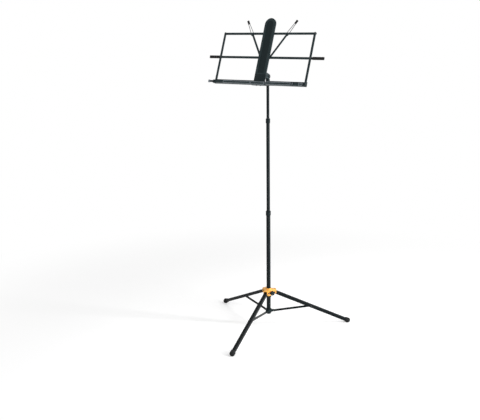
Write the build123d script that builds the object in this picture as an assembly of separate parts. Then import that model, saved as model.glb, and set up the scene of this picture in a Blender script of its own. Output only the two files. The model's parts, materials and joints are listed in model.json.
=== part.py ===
from build123d import *
import os
from math import atan2, cos, degrees, hypot, radians, sin

# A folding music stand in millimetres. The origin is on the floor, on the axis of the mast, +Z is up
# and the desk faces -Y. The stand is shown open, as it stands in use.

# Clearances
running_fit = 0.05        # radial, between pieces that turn or slide on each other
seat_fit = 0.02           # radial, between pieces that are pressed or riveted together
side_gap = 0.3            # between flat faces that pass each other
end_gap = 0.5             # between rivet heads or round bar ends and what passes them

# Mast tubes
lower_tube_od = 21.0
middle_tube_od = 17.5
upper_tube_od = 14.0
tube_wall = 1.2
tube_below_collar = 3.0        # end of the lower tube under the collar
lower_tube_length = 530.0
middle_tube_length = 522.0
upper_tube_length = 500.0
middle_tube_overlap = 60.0     # length of the middle tube that stays in the lower one
upper_tube_overlap = 304.0     # length of the upper tube that stays in the middle one
plug_depth = 12.0
plug_flange = 3.0
glide_depth = 12.0
glide_flange = 4.0

# Twist clutches
clutch_wall = 1.9
clutch_drop = 12.0             # how far the ring reaches down over its tube
clutch_lip = 5.0               # thickness of the ring above the bush
clutch_edge = 0.9
clutch_groove_count = 14
clutch_groove_radius = 1.0
clutch_groove_depth = 0.5
bush_depth = 30.0
bush_flange = 4.7

# Tripod
leg_names = ["right", "left", "front"]
tripod_turn = 37.5             # azimuth of the right leg
hub_pin_height = 185.0
hub_pin_gap = 7.2              # between the hub's sleeve and the round end of a leg
foot_reach = 415.0             # mast axis to the centre of a foot
foot_ball_d = 27.0
foot_wear = 1.5                # depth of the flat that a foot stands on
foot_sleeve_length = 15.0
foot_sleeve_wall = 2.2
leg_width = 15.0
leg_height = 16.5
leg_wall = 1.5
leg_edge = 2.0                 # radius of the channel's two upper edges
leg_end_gap = 3.0              # end of the channel short of the foot's centre
leg_joint_reach = 207.0        # hub pin to brace rivet along the leg
collar_pin_gap = 5.0           # between the collar and the round end of a brace
collar_pin_height = 82.0
collar_height = 18.0
collar_wall = 4.5
collar_lug_radius = 5.5
collar_cheek = 2.7
brace_height = 10.0
brace_thickness = 5.0
brace_boss_d = 9.2
brace_pin_d = 4.0
leg_rivet_d = 4.0
leg_rivet_head_d = 8.5
leg_rivet_head = 3.0

# Hub
hub_wall = 4.0
hub_height = 40.0
hub_cheek = 4.0
hub_lug_radius = 9.0
hub_cap = 5.0
hub_cap_gap = 1.5
hub_cap_edge = 4.0
hub_pin_d = 5.0
hub_pin_head_d = 8.5
hub_pin_head = 1.4
hub_edge = 1.0
hub_boss_d = 15.0
hub_boss_length = 9.45
hub_screw_d = 6.0
hub_knob_d = 23.0
hub_knob_length = 13.0
hub_knob_gap = 2.5
hub_screw_grip = 7.8           # length of the screw inside its knob

# Both knobs
knob_lobes = 6
knob_dome = 3.0
knob_scallop_radius = 6.0
knob_scallop_depth = 1.7

# Mast head and tilt joint
head_wall = 3.0
head_socket_length = 20.0
head_roof = 3.0
head_edge = 1.0
head_clear = 0.2               # between the head and what turns above it
tongue_thickness = 8.0
tongue_radius = 9.0
fork_cheek = 3.5
fork_radius = 11.0
tilt_bolt_d = 6.0
tilt_bolt_head_d = 11.0
tilt_bolt_head = 4.0
tilt_bolt_edge = 1.3
tilt_bolt_grip = 8.4           # length of the bolt inside its knob
tilt_knob_d = 25.0
tilt_knob_length = 14.0

# Desk, in its own frame: X across, Y backwards, Z up the desk from the underside of the trough
desk_tilt = 21.5
pivot_setback = 60.0           # tilt pivot behind the front of the bars
pivot_above_shelf = 64.8
desk_width = 500.0             # between the centre lines of the side bars
wing_pivot = 24.0              # pivots of the bars, to each side of the spine's centre line
bar_width = 11.0
bar_thickness = 3.0
bottom_bar_height = 13.0
mid_bar_height = 137.6
top_bar_height = 256.2
side_bar_gap = 2.8
sleeve_length = 60.0
sleeve_start = 9.0             # inner end of a sleeve outside the side bar's centre line
sleeve_height = 13.5
sleeve_wall = 2.4
sleeve_end = 3.0
sleeve_edge = 2.1
spine_edge = 6.0               # edge of the spine outside the wing pivot
spine_thickness = 6.7
spine_top = 330.8
spine_split = 53.8
spine_border = 13.0
spine_recess = 1.5
shelf_depth = 18.0
shelf_sheet = 1.5
shelf_lip = 12.7
shelf_back = 22.2              # height of the shelf's back
shelf_inset = 9.0              # start of the shelf outside the wing pivot
shelf_overhang = 6.0           # end of the shelf outside the side bar's centre line
trough_overlap = 7.0           # length of each shelf bar that lies in the trough
trough_lip = 15.2
trough_sheet = 1.6
corner_length = 14.0
corner_skirt = 6.0             # length of a corner block that laps the end of the shelf
corner_wall = 1.4
clip_place = 190.0
clip_width = 12.0
rivet_d = 5.0
rivet_head_d = 9.0
rivet_head = 1.4
rivet_depth = 3.7
side_rivet_d = 4.0
bracket_plate = 3.0
bracket_edge = 0.5             # plate outside the heads of its screws, to each side
bracket_end = 3.0              # plate beyond the heads of its screws, above and below
screw_d = 3.0
screw_head_d = 6.0
screw_head = 2.0
screw_head_gap = 0.2
screw_depth = 5.0
screw_rows = 32.0

# Page supports
arm_lean = 31.7
arm_width = 10.0
arm_eye_d = 13.0
arm_thickness = 2.0
arm_past_bar = 3.6             # end of an arm beyond the top bar's centre line
arm_head_edge = 1.2
arm_head_length = 11.0
wire_d = 2.6
wire_base = 12.4
wire_nose = 5.2
wire_bend = 2.3
wire_length = 72.0
tip_wall = 1.3
tip_length = 20.0
tip_edge = 2.2

# Worked out from the sizes above
hub_od = lower_tube_od + 2 * (running_fit + hub_wall)
collar_od = lower_tube_od + 2 * (seat_fit + collar_wall)
hub_pin_radius = hub_od / 2 + hub_pin_gap + leg_height / 2
collar_pin_radius = collar_od / 2 + collar_pin_gap + brace_height / 2
hub_boss_reach = hub_od / 2 + hub_boss_length
foot_height = foot_ball_d / 2 - foot_wear

collar_bottom = collar_pin_height - collar_height / 2
lower_tube_bottom = collar_bottom - tube_below_collar
lower_tube_top = lower_tube_bottom + lower_tube_length
middle_tube_bottom = lower_tube_top - middle_tube_overlap
middle_tube_top = middle_tube_bottom + middle_tube_length
upper_tube_bottom = middle_tube_top - upper_tube_overlap
upper_tube_top = upper_tube_bottom + upper_tube_length
head_top = upper_tube_top + side_gap + head_roof
tilt_pivot_height = head_top + head_clear + max(fork_radius, tilt_knob_d / 2)

leg_run = foot_reach - hub_pin_radius
leg_drop = hub_pin_height - foot_height
leg_slope = degrees(atan2(leg_drop, leg_run))
leg_length = hypot(leg_run, leg_drop)
leg_end = leg_length - leg_end_gap
brace_run = hub_pin_radius + leg_joint_reach * cos(radians(leg_slope)) - collar_pin_radius
brace_lift = hub_pin_height - leg_joint_reach * sin(radians(leg_slope)) - collar_pin_height
brace_rise = degrees(atan2(brace_lift, brace_run))
brace_length = hypot(brace_run, brace_lift)
leg_inside = leg_width - 2 * leg_wall
leg_spacing = 360 / len(leg_names)
hub_slot = leg_width + 2 * side_gap
hub_lug_width = hub_slot + 2 * hub_cheek
collar_slot = brace_thickness + 2 * side_gap
collar_lug_width = collar_slot + 2 * collar_cheek
hub_knob_turn = tripod_turn - leg_spacing / 2

fork_inside = tongue_thickness / 2 + side_gap
fork_outside = fork_inside + fork_cheek
screw_spread = fork_outside + screw_head_gap + screw_head_d / 2
bracket_width = 2 * (screw_spread + screw_head_d / 2 + bracket_edge)
bracket_height = screw_rows + screw_head_d + 2 * bracket_end

bar_back = bar_thickness
side_bar_back = -side_bar_gap
side_bar_front = side_bar_back - bar_thickness
spine_back = -side_gap
spine_front = spine_back - spine_thickness
spine_width = 2 * (wing_pivot + spine_edge)
shelf_bottom = trough_sheet + side_gap
shelf_top = shelf_bottom + shelf_sheet
trough_half = wing_pivot + shelf_inset + trough_overlap
half_desk = desk_width / 2
shelf_end = half_desk + shelf_overhang
corner_end = shelf_end + corner_wall
tray_end = corner_end - corner_length + corner_skirt
lip_top = shelf_bottom + shelf_lip
mid_bar_reach = half_desk + sleeve_start + sleeve_length
corner_back = side_bar_front - rivet_head - side_gap
arm_length = (top_bar_height - mid_bar_height) / cos(radians(arm_lean)) + arm_past_bar
arm_front = bar_back + rivet_head + end_gap
arm_back = arm_front + arm_thickness
arm_middle = (arm_front + arm_back) / 2
arm_head_width = wire_base + wire_d + 2 * arm_head_edge
tip_width = wire_nose + wire_d + 2 * tip_wall
tip_thickness = wire_d + 2 * tip_wall

up = (Align.CENTER, Align.CENTER, Align.MIN)
desk_place = (
    Pos(0, 0, tilt_pivot_height)
    * Rot(-desk_tilt, 0, 0)
    * Pos(0, -pivot_setback, -pivot_above_shelf)
)


def box(x0, x1, y0, y1, z0, z1):
    centre = Pos((x0 + x1) / 2, (y0 + y1) / 2, (z0 + z1) / 2)
    return centre * Box(x1 - x0, y1 - y0, z1 - z0)


def rod_x(diameter, x0, x1, y=0, z=0):
    return Pos((x0 + x1) / 2, y, z) * Rot(0, 90, 0) * Cylinder(diameter / 2, x1 - x0)


def rod_y(diameter, y0, y1, x=0, z=0):
    return Pos(x, (y0 + y1) / 2, z) * Rot(90, 0, 0) * Cylinder(diameter / 2, y1 - y0)


def rod_z(diameter, z0, z1, x=0, y=0):
    return Pos(x, y, z0) * Cylinder(diameter / 2, z1 - z0, align=up)


def group(solids):
    return Compound(children=list(solids))


def mirrored(shape):
    return mirror(shape, about=Plane.YZ)


# Mast

def tube(diameter, bottom, top):
    return rod_z(diameter, bottom, top) - rod_z(diameter - 2 * tube_wall, bottom, top)


def bush(outer_od, inner_od, tube_top):
    """A guide sleeve in the mouth of a tube, with a flange on the tube's end."""
    sleeve = rod_z(outer_od - 2 * (tube_wall + seat_fit), tube_top - bush_depth, tube_top)
    flange = rod_z(outer_od, tube_top, tube_top + bush_flange)
    bore = rod_z(inner_od + 2 * running_fit, tube_top - bush_depth, tube_top + bush_flange)
    return sleeve + flange - bore


def clutch_ring(outer_od, inner_od, tube_top):
    """A twist ring over the mouth of a tube, with grip grooves and a lip over the bush."""
    bottom = tube_top - clutch_drop
    under_lip = tube_top + bush_flange + side_gap
    top = under_lip + clutch_lip
    bore = outer_od + 2 * running_fit
    ring_od = bore + 2 * clutch_wall
    body = rod_z(ring_od, bottom, top)
    body = fillet(body.edges().filter_by(GeomType.CIRCLE), clutch_edge)
    body -= rod_z(bore, bottom, under_lip)
    body -= rod_z(inner_od + 2 * side_gap, bottom, top)
    groove = rod_z(2 * clutch_groove_radius, bottom + clutch_wall, top - clutch_wall)
    groove_circle = ring_od / 2 + clutch_groove_radius - clutch_groove_depth
    for place in PolarLocations(groove_circle, clutch_groove_count):
        body -= place * groove
    return body


def glide(tube_od, outer_tube_od, bottom):
    """A plug in the foot of a sliding tube, with a flange that runs in the outer tube."""
    plug = rod_z(tube_od - 2 * (tube_wall + seat_fit), bottom, bottom + glide_depth)
    return plug + rod_z(outer_tube_od - 2 * (tube_wall + running_fit), bottom - glide_flange, bottom)


def tube_plug():
    bottom = lower_tube_bottom
    plug = rod_z(lower_tube_od - 2 * (tube_wall + seat_fit), bottom, bottom + plug_depth)
    return plug + rod_z(lower_tube_od, bottom - plug_flange, bottom)


# Tripod

def around(index):
    return Rot(0, 0, tripod_turn + leg_spacing * index)


def leg_place(index):
    return around(index) * Pos(hub_pin_radius, 0, hub_pin_height) * Rot(0, leg_slope, 0)


def brace_place(index):
    return around(index) * Pos(collar_pin_radius, 0, collar_pin_height) * Rot(0, -brace_rise, 0)


def leg():
    """A channel open along its underside, along X from the hub pin, with a round inner end."""
    half = leg_width / 2
    nose = leg_height / 2
    section = Rectangle(leg_width, leg_height)
    section = fillet(section.vertices().group_by(Axis.Y)[-1], leg_edge)
    channel = extrude(Plane.YZ * section, leg_end) + rod_y(leg_height, -half, half)
    channel -= box(-nose, leg_end, -leg_inside / 2, leg_inside / 2, -nose, nose - leg_wall)
    channel -= rod_y(hub_pin_d + 2 * running_fit, -half, half)
    channel -= rod_y(leg_rivet_d + 2 * seat_fit, -half, half, leg_joint_reach)
    return channel


def leg_rivet():
    half = leg_width / 2
    rivet = rod_y(leg_rivet_d, -half, half, leg_joint_reach)
    rivet += rod_y(leg_rivet_head_d, half, half + leg_rivet_head, leg_joint_reach)
    rivet += rod_y(leg_rivet_head_d, -half - leg_rivet_head, -half, leg_joint_reach)
    return rivet


def foot(index):
    """A rubber ball on the end of a leg, worn flat where it meets the floor."""
    wide = leg_width / 2 + foot_sleeve_wall
    tall = leg_height / 2 + foot_sleeve_wall
    sleeve = box(leg_length - foot_sleeve_length, leg_length, -wide, wide, -tall, tall)
    sleeve = fillet(sleeve.edges().filter_by(Axis.X), foot_sleeve_wall)
    ball = sleeve + Pos(leg_length, 0, 0) * Sphere(foot_ball_d / 2)
    ball -= box(0, leg_end, -leg_width / 2, leg_width / 2, -leg_height / 2, leg_height / 2)
    placed = leg_place(index) * ball
    reach = 2 * foot_reach
    return placed - box(-reach, reach, -reach, reach, -foot_ball_d, 0)


def brace():
    """A flat bar along X from the collar pin to the leg rivet, with a spacer boss on the leg's rivet."""
    half = brace_thickness / 2
    outline = Pos(brace_length / 2, 0) * SlotCenterToCenter(brace_length, brace_height)
    bar = extrude(Plane.XZ * outline, half, both=True)
    boss = leg_inside / 2 - side_gap
    bar += rod_y(brace_boss_d, -boss, boss, brace_length)
    bar -= rod_y(leg_rivet_d + 2 * running_fit, -boss, boss, brace_length)
    bar -= rod_y(brace_pin_d + 2 * seat_fit, -half, half)
    return bar


def brace_pin():
    half = collar_lug_width / 2
    return rod_y(brace_pin_d, -half, half)


def lower_collar():
    """A ring on the foot of the mast with a hooked clevis for each brace. The hooks open downwards."""
    low = collar_bottom
    high = low + collar_height
    body = rod_z(collar_od, low, high)
    inner = lower_tube_od / 2 + collar_wall / 2
    hook_radius = brace_pin_d / 2 + side_gap
    drop = 2 * collar_lug_radius
    lug = Plane.XZ * (
        Pos((inner + collar_pin_radius) / 2, 0) * Rectangle(collar_pin_radius - inner, 2 * collar_lug_radius)
        + Pos(collar_pin_radius, 0) * Circle(collar_lug_radius)
    )
    mouth = Plane.XZ * make_face(
        Polyline(
            (collar_pin_radius - hook_radius, 0),
            (collar_pin_radius + hook_radius, 0),
            (collar_pin_radius + hook_radius, -drop),
            (collar_pin_radius - hook_radius - drop / 2, -drop),
            close=True,
        )
    )
    wide = collar_lug_width / 2
    slot = collar_slot / 2
    reach = collar_pin_radius + 2 * collar_lug_radius
    for index in range(len(leg_names)):
        place = around(index) * Pos(0, 0, collar_pin_height)
        body += place * extrude(lug, wide, both=True)
    for index in range(len(leg_names)):
        place = around(index) * Pos(0, 0, collar_pin_height)
        body -= place * box(collar_od / 2, reach, -slot, slot, -collar_height, collar_height)
        body -= place * extrude(mouth, wide, both=True)
        body -= place * rod_y(2 * hook_radius, -wide, wide, collar_pin_radius)
    return body - rod_z(lower_tube_od + 2 * seat_fit, low, high)


def hub():
    """A sleeve that slides on the mast, with three capped clevises and a boss for the clamp screw."""
    low = hub_pin_height - hub_height / 2
    high = hub_pin_height + hub_height / 2
    sleeve = rod_z(hub_od, low, high)
    sleeve = fillet(sleeve.edges().filter_by(GeomType.CIRCLE), hub_edge)
    cap_under = leg_height / 2 + hub_cap_gap
    cap_top = cap_under + hub_cap
    tip = hub_pin_radius + hub_lug_radius
    profile = Plane.XZ * (
        Pos(hub_pin_radius / 2, (cap_top - hub_lug_radius) / 2)
        * Rectangle(hub_pin_radius, cap_top + hub_lug_radius)
        + Pos(hub_pin_radius, 0) * Circle(hub_lug_radius)
        + Pos((hub_pin_radius + tip) / 2, cap_top / 2) * Rectangle(tip - hub_pin_radius, cap_top)
    )
    lug = extrude(profile, hub_lug_width / 2, both=True)
    far_top = lug.edges().filter_by(Axis.Y).sort_by(Axis.X)[-2:].sort_by(Axis.Z)[-1]
    lug = fillet(far_top, hub_cap_edge)
    slot = box(hub_od / 2, 2 * tip, -hub_slot / 2, hub_slot / 2, -hub_height, cap_under)
    pin_hole = rod_y(hub_pin_d + 2 * seat_fit, -hub_lug_width, hub_lug_width, hub_pin_radius)
    body = sleeve
    for index in range(len(leg_names)):
        body += around(index) * Pos(0, 0, hub_pin_height) * lug
    knob_place = Rot(0, 0, hub_knob_turn) * Pos(0, 0, hub_pin_height)
    body += knob_place * rod_x(hub_boss_d, 0, hub_boss_reach)
    for index in range(len(leg_names)):
        place = around(index) * Pos(0, 0, hub_pin_height)
        body -= place * slot
        body -= place * pin_hole
    body -= knob_place * rod_x(hub_screw_d + 2 * running_fit, 0, hub_boss_reach)
    return body - rod_z(lower_tube_od + 2 * running_fit, low, high)


def hub_pin():
    half = hub_lug_width / 2
    pin = rod_y(hub_pin_d, -half, half, hub_pin_radius)
    pin += rod_y(hub_pin_head_d, half, half + hub_pin_head, hub_pin_radius)
    pin += rod_y(hub_pin_head_d, -half - hub_pin_head, -half, hub_pin_radius)
    return pin


def lobed_knob(diameter, length):
    """A grip along +X from its face, with a scalloped rim and a rounded outer edge."""
    body = rod_x(diameter, 0, length)
    body = fillet(body.edges().filter_by(GeomType.CIRCLE).sort_by(Axis.X)[-1], knob_dome)
    scallop = rod_x(2 * knob_scallop_radius, 0, length)
    scallop_circle = diameter / 2 + knob_scallop_radius - knob_scallop_depth
    for index in range(knob_lobes):
        body -= Rot(360 * index / knob_lobes, 0, 0) * Pos(0, 0, scallop_circle) * scallop
    return body


def hub_knob_and_screw():
    place = Rot(0, 0, hub_knob_turn) * Pos(0, 0, hub_pin_height)
    face = hub_boss_reach + hub_knob_gap
    screw_end = face + hub_screw_grip
    screw = rod_x(hub_screw_d, lower_tube_od / 2 + running_fit, screw_end)
    grip = Pos(face, 0, 0) * lobed_knob(hub_knob_d, hub_knob_length)
    grip -= rod_x(hub_screw_d + 2 * seat_fit, face, screw_end)
    return place * grip, place * screw


# Mast head and tilt joint

def mast_head():
    """A socket on the upper tube that turns under the desk, with an upright tongue for the tilt bolt."""
    low = upper_tube_top - head_socket_length
    roof = upper_tube_top + side_gap
    socket_od = upper_tube_od + 2 * (running_fit + head_wall)
    socket = rod_z(socket_od, low, head_top)
    socket = fillet(socket.edges().filter_by(GeomType.CIRCLE), head_edge)
    tongue = Plane.YZ * (
        Pos(0, (roof + tilt_pivot_height) / 2) * Rectangle(2 * tongue_radius, tilt_pivot_height - roof)
        + Pos(0, tilt_pivot_height) * Circle(tongue_radius)
    )
    head = socket + extrude(tongue, tongue_thickness / 2, both=True)
    head -= rod_z(upper_tube_od + 2 * running_fit, low, roof)
    return head - rod_x(tilt_bolt_d + 2 * running_fit, -socket_od, socket_od, 0, tilt_pivot_height)


def desk_bracket():
    """A fork on the back of the spine. Its cheeks reach back to the tilt bolt."""
    low = pivot_above_shelf - bracket_height / 2
    high = pivot_above_shelf + bracket_height / 2
    plate = box(-bracket_width / 2, bracket_width / 2, spine_back, spine_back + bracket_plate, low, high)
    cheek = Plane.YZ * (
        make_face(
            Polyline(
                (spine_back, low + bracket_plate),
                (pivot_setback, pivot_above_shelf - fork_radius),
                (pivot_setback, pivot_above_shelf + fork_radius),
                (spine_back, pivot_above_shelf + fork_radius),
                close=True,
            )
        )
        + Pos(pivot_setback, pivot_above_shelf) * Circle(fork_radius)
    )
    fork = extrude(cheek, fork_outside, both=True)
    fork -= box(-fork_inside, fork_inside, spine_back + bracket_plate, 2 * pivot_setback, 0, 2 * high)
    bracket = plate + fork
    bracket -= rod_x(
        tilt_bolt_d + 2 * running_fit, -bracket_width, bracket_width, pivot_setback, pivot_above_shelf
    )
    for x, z in screw_places():
        bracket -= rod_y(screw_d + 2 * seat_fit, spine_back, spine_back + bracket_plate, x, z)
    return bracket


def screw_places():
    rows = [pivot_above_shelf - screw_rows / 2, pivot_above_shelf + screw_rows / 2]
    return [(side * screw_spread, row) for row in rows for side in (-1, 1)]


def desk_screws():
    """Four screws hold the bracket to the spine, and two more the trough under it."""
    head = spine_back + bracket_plate
    screws = []
    for x, z in screw_places():
        screw = rod_y(screw_d, spine_back - screw_depth, head, x, z)
        screws.append(screw + rod_y(screw_head_d, head, head + screw_head, x, z))
    middle = (spine_front + spine_back) / 2
    for side in (-1, 1):
        screw = rod_z(screw_d, 0, trough_sheet + screw_depth, side * screw_spread, middle)
        screw += rod_z(screw_head_d, -screw_head, 0, side * screw_spread, middle)
        screws.append(screw)
    return screws


def tilt_bolt():
    outer = fork_outside + side_gap
    shank = rod_x(tilt_bolt_d, -outer - tilt_bolt_grip, outer, pivot_setback, pivot_above_shelf)
    head = rod_x(tilt_bolt_head_d, outer, outer + tilt_bolt_head, pivot_setback, pivot_above_shelf)
    head = fillet(head.edges().filter_by(GeomType.CIRCLE).sort_by(Axis.X)[-1], tilt_bolt_edge)
    return shank + head


def tilt_knob():
    outer = fork_outside + side_gap
    grip = lobed_knob(tilt_knob_d, tilt_knob_length)
    grip = Pos(-outer, pivot_setback, pivot_above_shelf) * Rot(0, 0, 180) * grip
    end = outer + tilt_bolt_grip
    return grip - rod_x(tilt_bolt_d + 2 * seat_fit, -end, -outer, pivot_setback, pivot_above_shelf)


# Desk

def bolt_holes(shape):
    for screw in desk_screws():
        shape -= screw
    for rivet in spine_rivets():
        shape -= rivet
    return shape


def spine():
    """The tall middle plate, round at the top, with a raised border round a sunken middle."""
    half = spine_width / 2
    centre = spine_top - half
    outline = Plane.XZ * (
        Pos(0, (spine_split + centre) / 2) * Rectangle(spine_width, centre - spine_split)
        + Pos(0, centre) * Circle(half)
    )
    plate = extrude(outline, spine_thickness)
    plate = Pos(0, spine_back, 0) * plate
    sunk = half - spine_border
    low = spine_split + spine_border / 2
    recess = Plane.XZ * (
        Pos(0, (low + centre) / 2) * Rectangle(2 * sunk, centre - low) + Pos(0, centre) * Circle(sunk)
    )
    plate -= Pos(0, spine_front + spine_recess, 0) * extrude(recess, spine_thickness)
    return bolt_holes(plate)


def spine_foot():
    half = spine_width / 2
    block = box(-half, half, spine_front, spine_back, trough_sheet, spine_split)
    front = block.faces().sort_by(Axis.Y)[0]
    block = chamfer(front.edges().filter_by(Axis.X).sort_by(Axis.Z)[-1], end_gap)
    return bolt_holes(block)


def shelf_trough():
    """The fixed middle of the shelf, which the inner ends of both shelf bars rest in."""
    half = trough_half
    front = -shelf_depth - side_gap - trough_sheet
    trough = box(-half, half, front, bar_back, 0, trough_sheet)
    trough += box(-half, half, front, front + trough_sheet, 0, trough_lip)
    for screw in desk_screws():
        trough -= screw
    return trough


def strip(x0, x1, z, y0):
    """A flat bar across the desk with round ends, from one centre line to another."""
    outline = SlotCenterToCenter(x1 - x0, bar_width)
    return Pos((x0 + x1) / 2, y0 + bar_thickness / 2, z) * extrude(
        Plane.XZ * outline, bar_thickness / 2, both=True
    )


def pivot_holes(shape, z):
    shape -= rod_y(rivet_d + 2 * running_fit, 0, bar_back, wing_pivot, z)
    return shape - rod_y(side_rivet_d + 2 * running_fit, 0, bar_back, half_desk, z)


def shelf_bar():
    """The lower bar of a wing: a tall back on its two pivots, bent forwards into a tray with a lip."""
    start = wing_pivot + shelf_inset
    shelf = strip(wing_pivot, half_desk, bottom_bar_height, 0)
    shelf += box(start, shelf_end, 0, bar_back, shelf_bottom, shelf_bottom + shelf_back)
    shelf += box(start, tray_end, -shelf_depth, bar_back, shelf_bottom, shelf_top)
    shelf += box(start, tray_end, -shelf_depth, shelf_sheet - shelf_depth, shelf_bottom, lip_top)
    return pivot_holes(shelf, bottom_bar_height)


def lip_moulding(x0, x1, back, wall):
    """A block round the lip of the shelf, thicker than the lip by a wall on all sides."""
    block = box(x0, x1, -shelf_depth - wall, back, shelf_bottom - wall, lip_top + wall)
    return fillet(block.edges().filter_by(Axis.X), wall / 2)


def corner_block():
    """The end of the tray, with a skirt that laps the outside of the lip and the floor."""
    block = lip_moulding(corner_end - corner_length, corner_end, corner_back, corner_wall)
    block -= box(0, tray_end, -shelf_depth, bar_back, shelf_bottom, lip_top + corner_wall)
    return block


def shelf_clip():
    left = clip_place - clip_width / 2
    return lip_moulding(left, left + clip_width, 2 * shelf_sheet - shelf_depth, shelf_sheet) - shelf_bar()


def top_bar():
    return pivot_holes(strip(wing_pivot, half_desk, top_bar_height, 0), top_bar_height)


def mid_bar():
    end = mid_bar_reach - sleeve_end - bar_width / 2
    return pivot_holes(strip(wing_pivot, end, mid_bar_height, 0), mid_bar_height)


def bar_sleeve():
    low = mid_bar_height - sleeve_height / 2
    start = half_desk + sleeve_start
    sleeve = box(start, mid_bar_reach, -sleeve_wall, bar_back + sleeve_wall, low, low + sleeve_height)
    sleeve = fillet(sleeve.edges().filter_by(Axis.X), sleeve_edge)
    return sleeve - mid_bar()


def bar_heights():
    return [bottom_bar_height, mid_bar_height, top_bar_height]


def side_bar():
    length = top_bar_height - bottom_bar_height
    outline = SlotCenterToCenter(length, bar_width, rotation=90)
    middle = Pos(half_desk, (side_bar_front + side_bar_back) / 2, bottom_bar_height + length / 2)
    bar = middle * extrude(Plane.XZ * outline, bar_thickness / 2, both=True)
    for z in bar_heights():
        bar -= rod_y(side_rivet_d + 2 * seat_fit, side_bar_front, side_bar_back, half_desk, z)
    return bar


def side_rivets():
    """Three rivets in a side bar, each with a spacer shoulder that keeps the bars apart."""
    rivets = []
    for z in bar_heights():
        rivet = rod_y(side_rivet_d, side_bar_front, bar_back + running_fit, half_desk, z)
        rivet += rod_y(rivet_head_d, side_bar_front - rivet_head, side_bar_front, half_desk, z)
        rivet += rod_y(rivet_head_d, side_bar_back, -running_fit, half_desk, z)
        rivet += rod_y(rivet_head_d, bar_back + running_fit, bar_back + rivet_head, half_desk, z)
        rivets.append(rivet)
    return rivets


def spine_rivets():
    """The bars' pivots on the spine. The middle ones also carry the page supports."""
    rivets = []
    start = spine_back - rivet_depth
    for side in (-1, 1):
        x = side * wing_pivot
        for z in (bottom_bar_height, top_bar_height):
            rivet = rod_y(rivet_d, start, bar_back + running_fit, x, z)
            rivets.append(rivet + rod_y(rivet_head_d, bar_back + running_fit, bar_back + rivet_head, x, z))
        rivet = rod_y(rivet_d, start, arm_back + running_fit, x, mid_bar_height)
        rivet += rod_y(rivet_head_d, bar_back + running_fit, arm_front - running_fit, x, mid_bar_height)
        rivet += rod_y(rivet_head_d, arm_back + running_fit, arm_back + rivet_head, x, mid_bar_height)
        rivets.append(rivet)
    return rivets


# Page supports, along +Z from their pivot before they are leaned outwards

arm_place = Pos(wing_pivot, 0, mid_bar_height) * Rot(0, arm_lean, 0)


def page_arm():
    half = arm_width / 2
    arm = box(-half, half, arm_front, arm_back, 0, arm_length)
    arm += rod_y(arm_eye_d, arm_front, arm_back)
    wide = arm_head_width / 2
    head = box(-wide, wide, arm_front, arm_back, arm_length - arm_head_length, arm_length)
    arm += fillet(head.edges().filter_by(Axis.Y), arm_thickness)
    return arm - rod_y(rivet_d + 2 * running_fit, arm_front, arm_back)


def page_wire():
    """A hairpin of wire that stands on the head of the arm."""
    base = wire_base / 2
    nose = wire_nose / 2
    high = arm_length + wire_length
    path = FilletPolyline(
        (-base, arm_middle, arm_length),
        (-nose, arm_middle, high),
        (nose, arm_middle, high),
        (base, arm_middle, arm_length),
        radius=wire_bend,
    )
    section = Plane(path @ 0, z_dir=path % 0) * Circle(wire_d / 2)
    wire = sweep(section, path)
    return wire - box(-wire_base, wire_base, arm_front - wire_d, arm_back + wire_d, 0, arm_length)


def page_tip(wire):
    """A rubber shoe over the nose of the wire."""
    top = arm_length + wire_length + wire_d / 2 + tip_edge
    half = tip_width / 2
    shoe = box(
        -half, half, arm_middle - tip_thickness / 2, arm_middle + tip_thickness / 2, top - tip_length, top
    )
    shoe = fillet(shoe.edges().filter_by(Axis.Y), tip_edge)
    return shoe - wire


# All pieces in their places

def build():
    pieces = {
        "lower_tube": tube(lower_tube_od, lower_tube_bottom, lower_tube_top),
        "tube_plug": tube_plug(),
        "lower_collar": lower_collar(),
        "lower_bush": bush(lower_tube_od, middle_tube_od, lower_tube_top),
        "lower_clutch_ring": clutch_ring(lower_tube_od, middle_tube_od, lower_tube_top),
        "middle_tube": tube(middle_tube_od, middle_tube_bottom, middle_tube_top),
        "middle_glide": glide(middle_tube_od, lower_tube_od, middle_tube_bottom),
        "upper_bush": bush(middle_tube_od, upper_tube_od, middle_tube_top),
        "upper_clutch_ring": clutch_ring(middle_tube_od, upper_tube_od, middle_tube_top),
        "upper_tube": tube(upper_tube_od, upper_tube_bottom, upper_tube_top),
        "upper_glide": glide(upper_tube_od, middle_tube_od, upper_tube_bottom),
        "hub": hub(),
        "hub_pins": group(
            around(index) * Pos(0, 0, hub_pin_height) * hub_pin() for index in range(len(leg_names))
        ),
        "mast_head": mast_head(),
    }
    pieces["hub_knob"], pieces["hub_screw"] = hub_knob_and_screw()
    for index, name in enumerate(leg_names):
        pieces[f"leg_{name}"] = leg_place(index) * leg()
        pieces[f"foot_{name}"] = foot(index)
        pieces[f"leg_rivet_{name}"] = leg_place(index) * leg_rivet()
        pieces[f"brace_{name}"] = brace_place(index) * brace()
        pieces[f"brace_pin_{name}"] = brace_place(index) * brace_pin()

    desk = {
        "desk_bracket": desk_bracket(),
        "desk_screws": group(desk_screws()),
        "tilt_bolt": tilt_bolt(),
        "tilt_knob": tilt_knob(),
        "spine": spine(),
        "spine_foot": spine_foot(),
        "shelf_trough": shelf_trough(),
        "spine_rivets": group(spine_rivets()),
        "shelf_clip": shelf_clip(),
    }
    wire = page_wire()
    right_wing = {
        "shelf_bar": shelf_bar(),
        "corner_block": corner_block(),
        "side_bar": side_bar(),
        "side_rivets": group(side_rivets()),
        "mid_bar": mid_bar(),
        "bar_sleeve": bar_sleeve(),
        "top_bar": top_bar(),
        "page_arm": arm_place * page_arm(),
        "page_wire": arm_place * wire,
        "page_tip": arm_place * page_tip(wire),
    }
    for name, piece in right_wing.items():
        desk[f"{name}_right"] = piece
        desk[f"{name}_left"] = mirrored(piece)
    for name, piece in desk.items():
        pieces[name] = desk_place * piece
    return pieces


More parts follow.
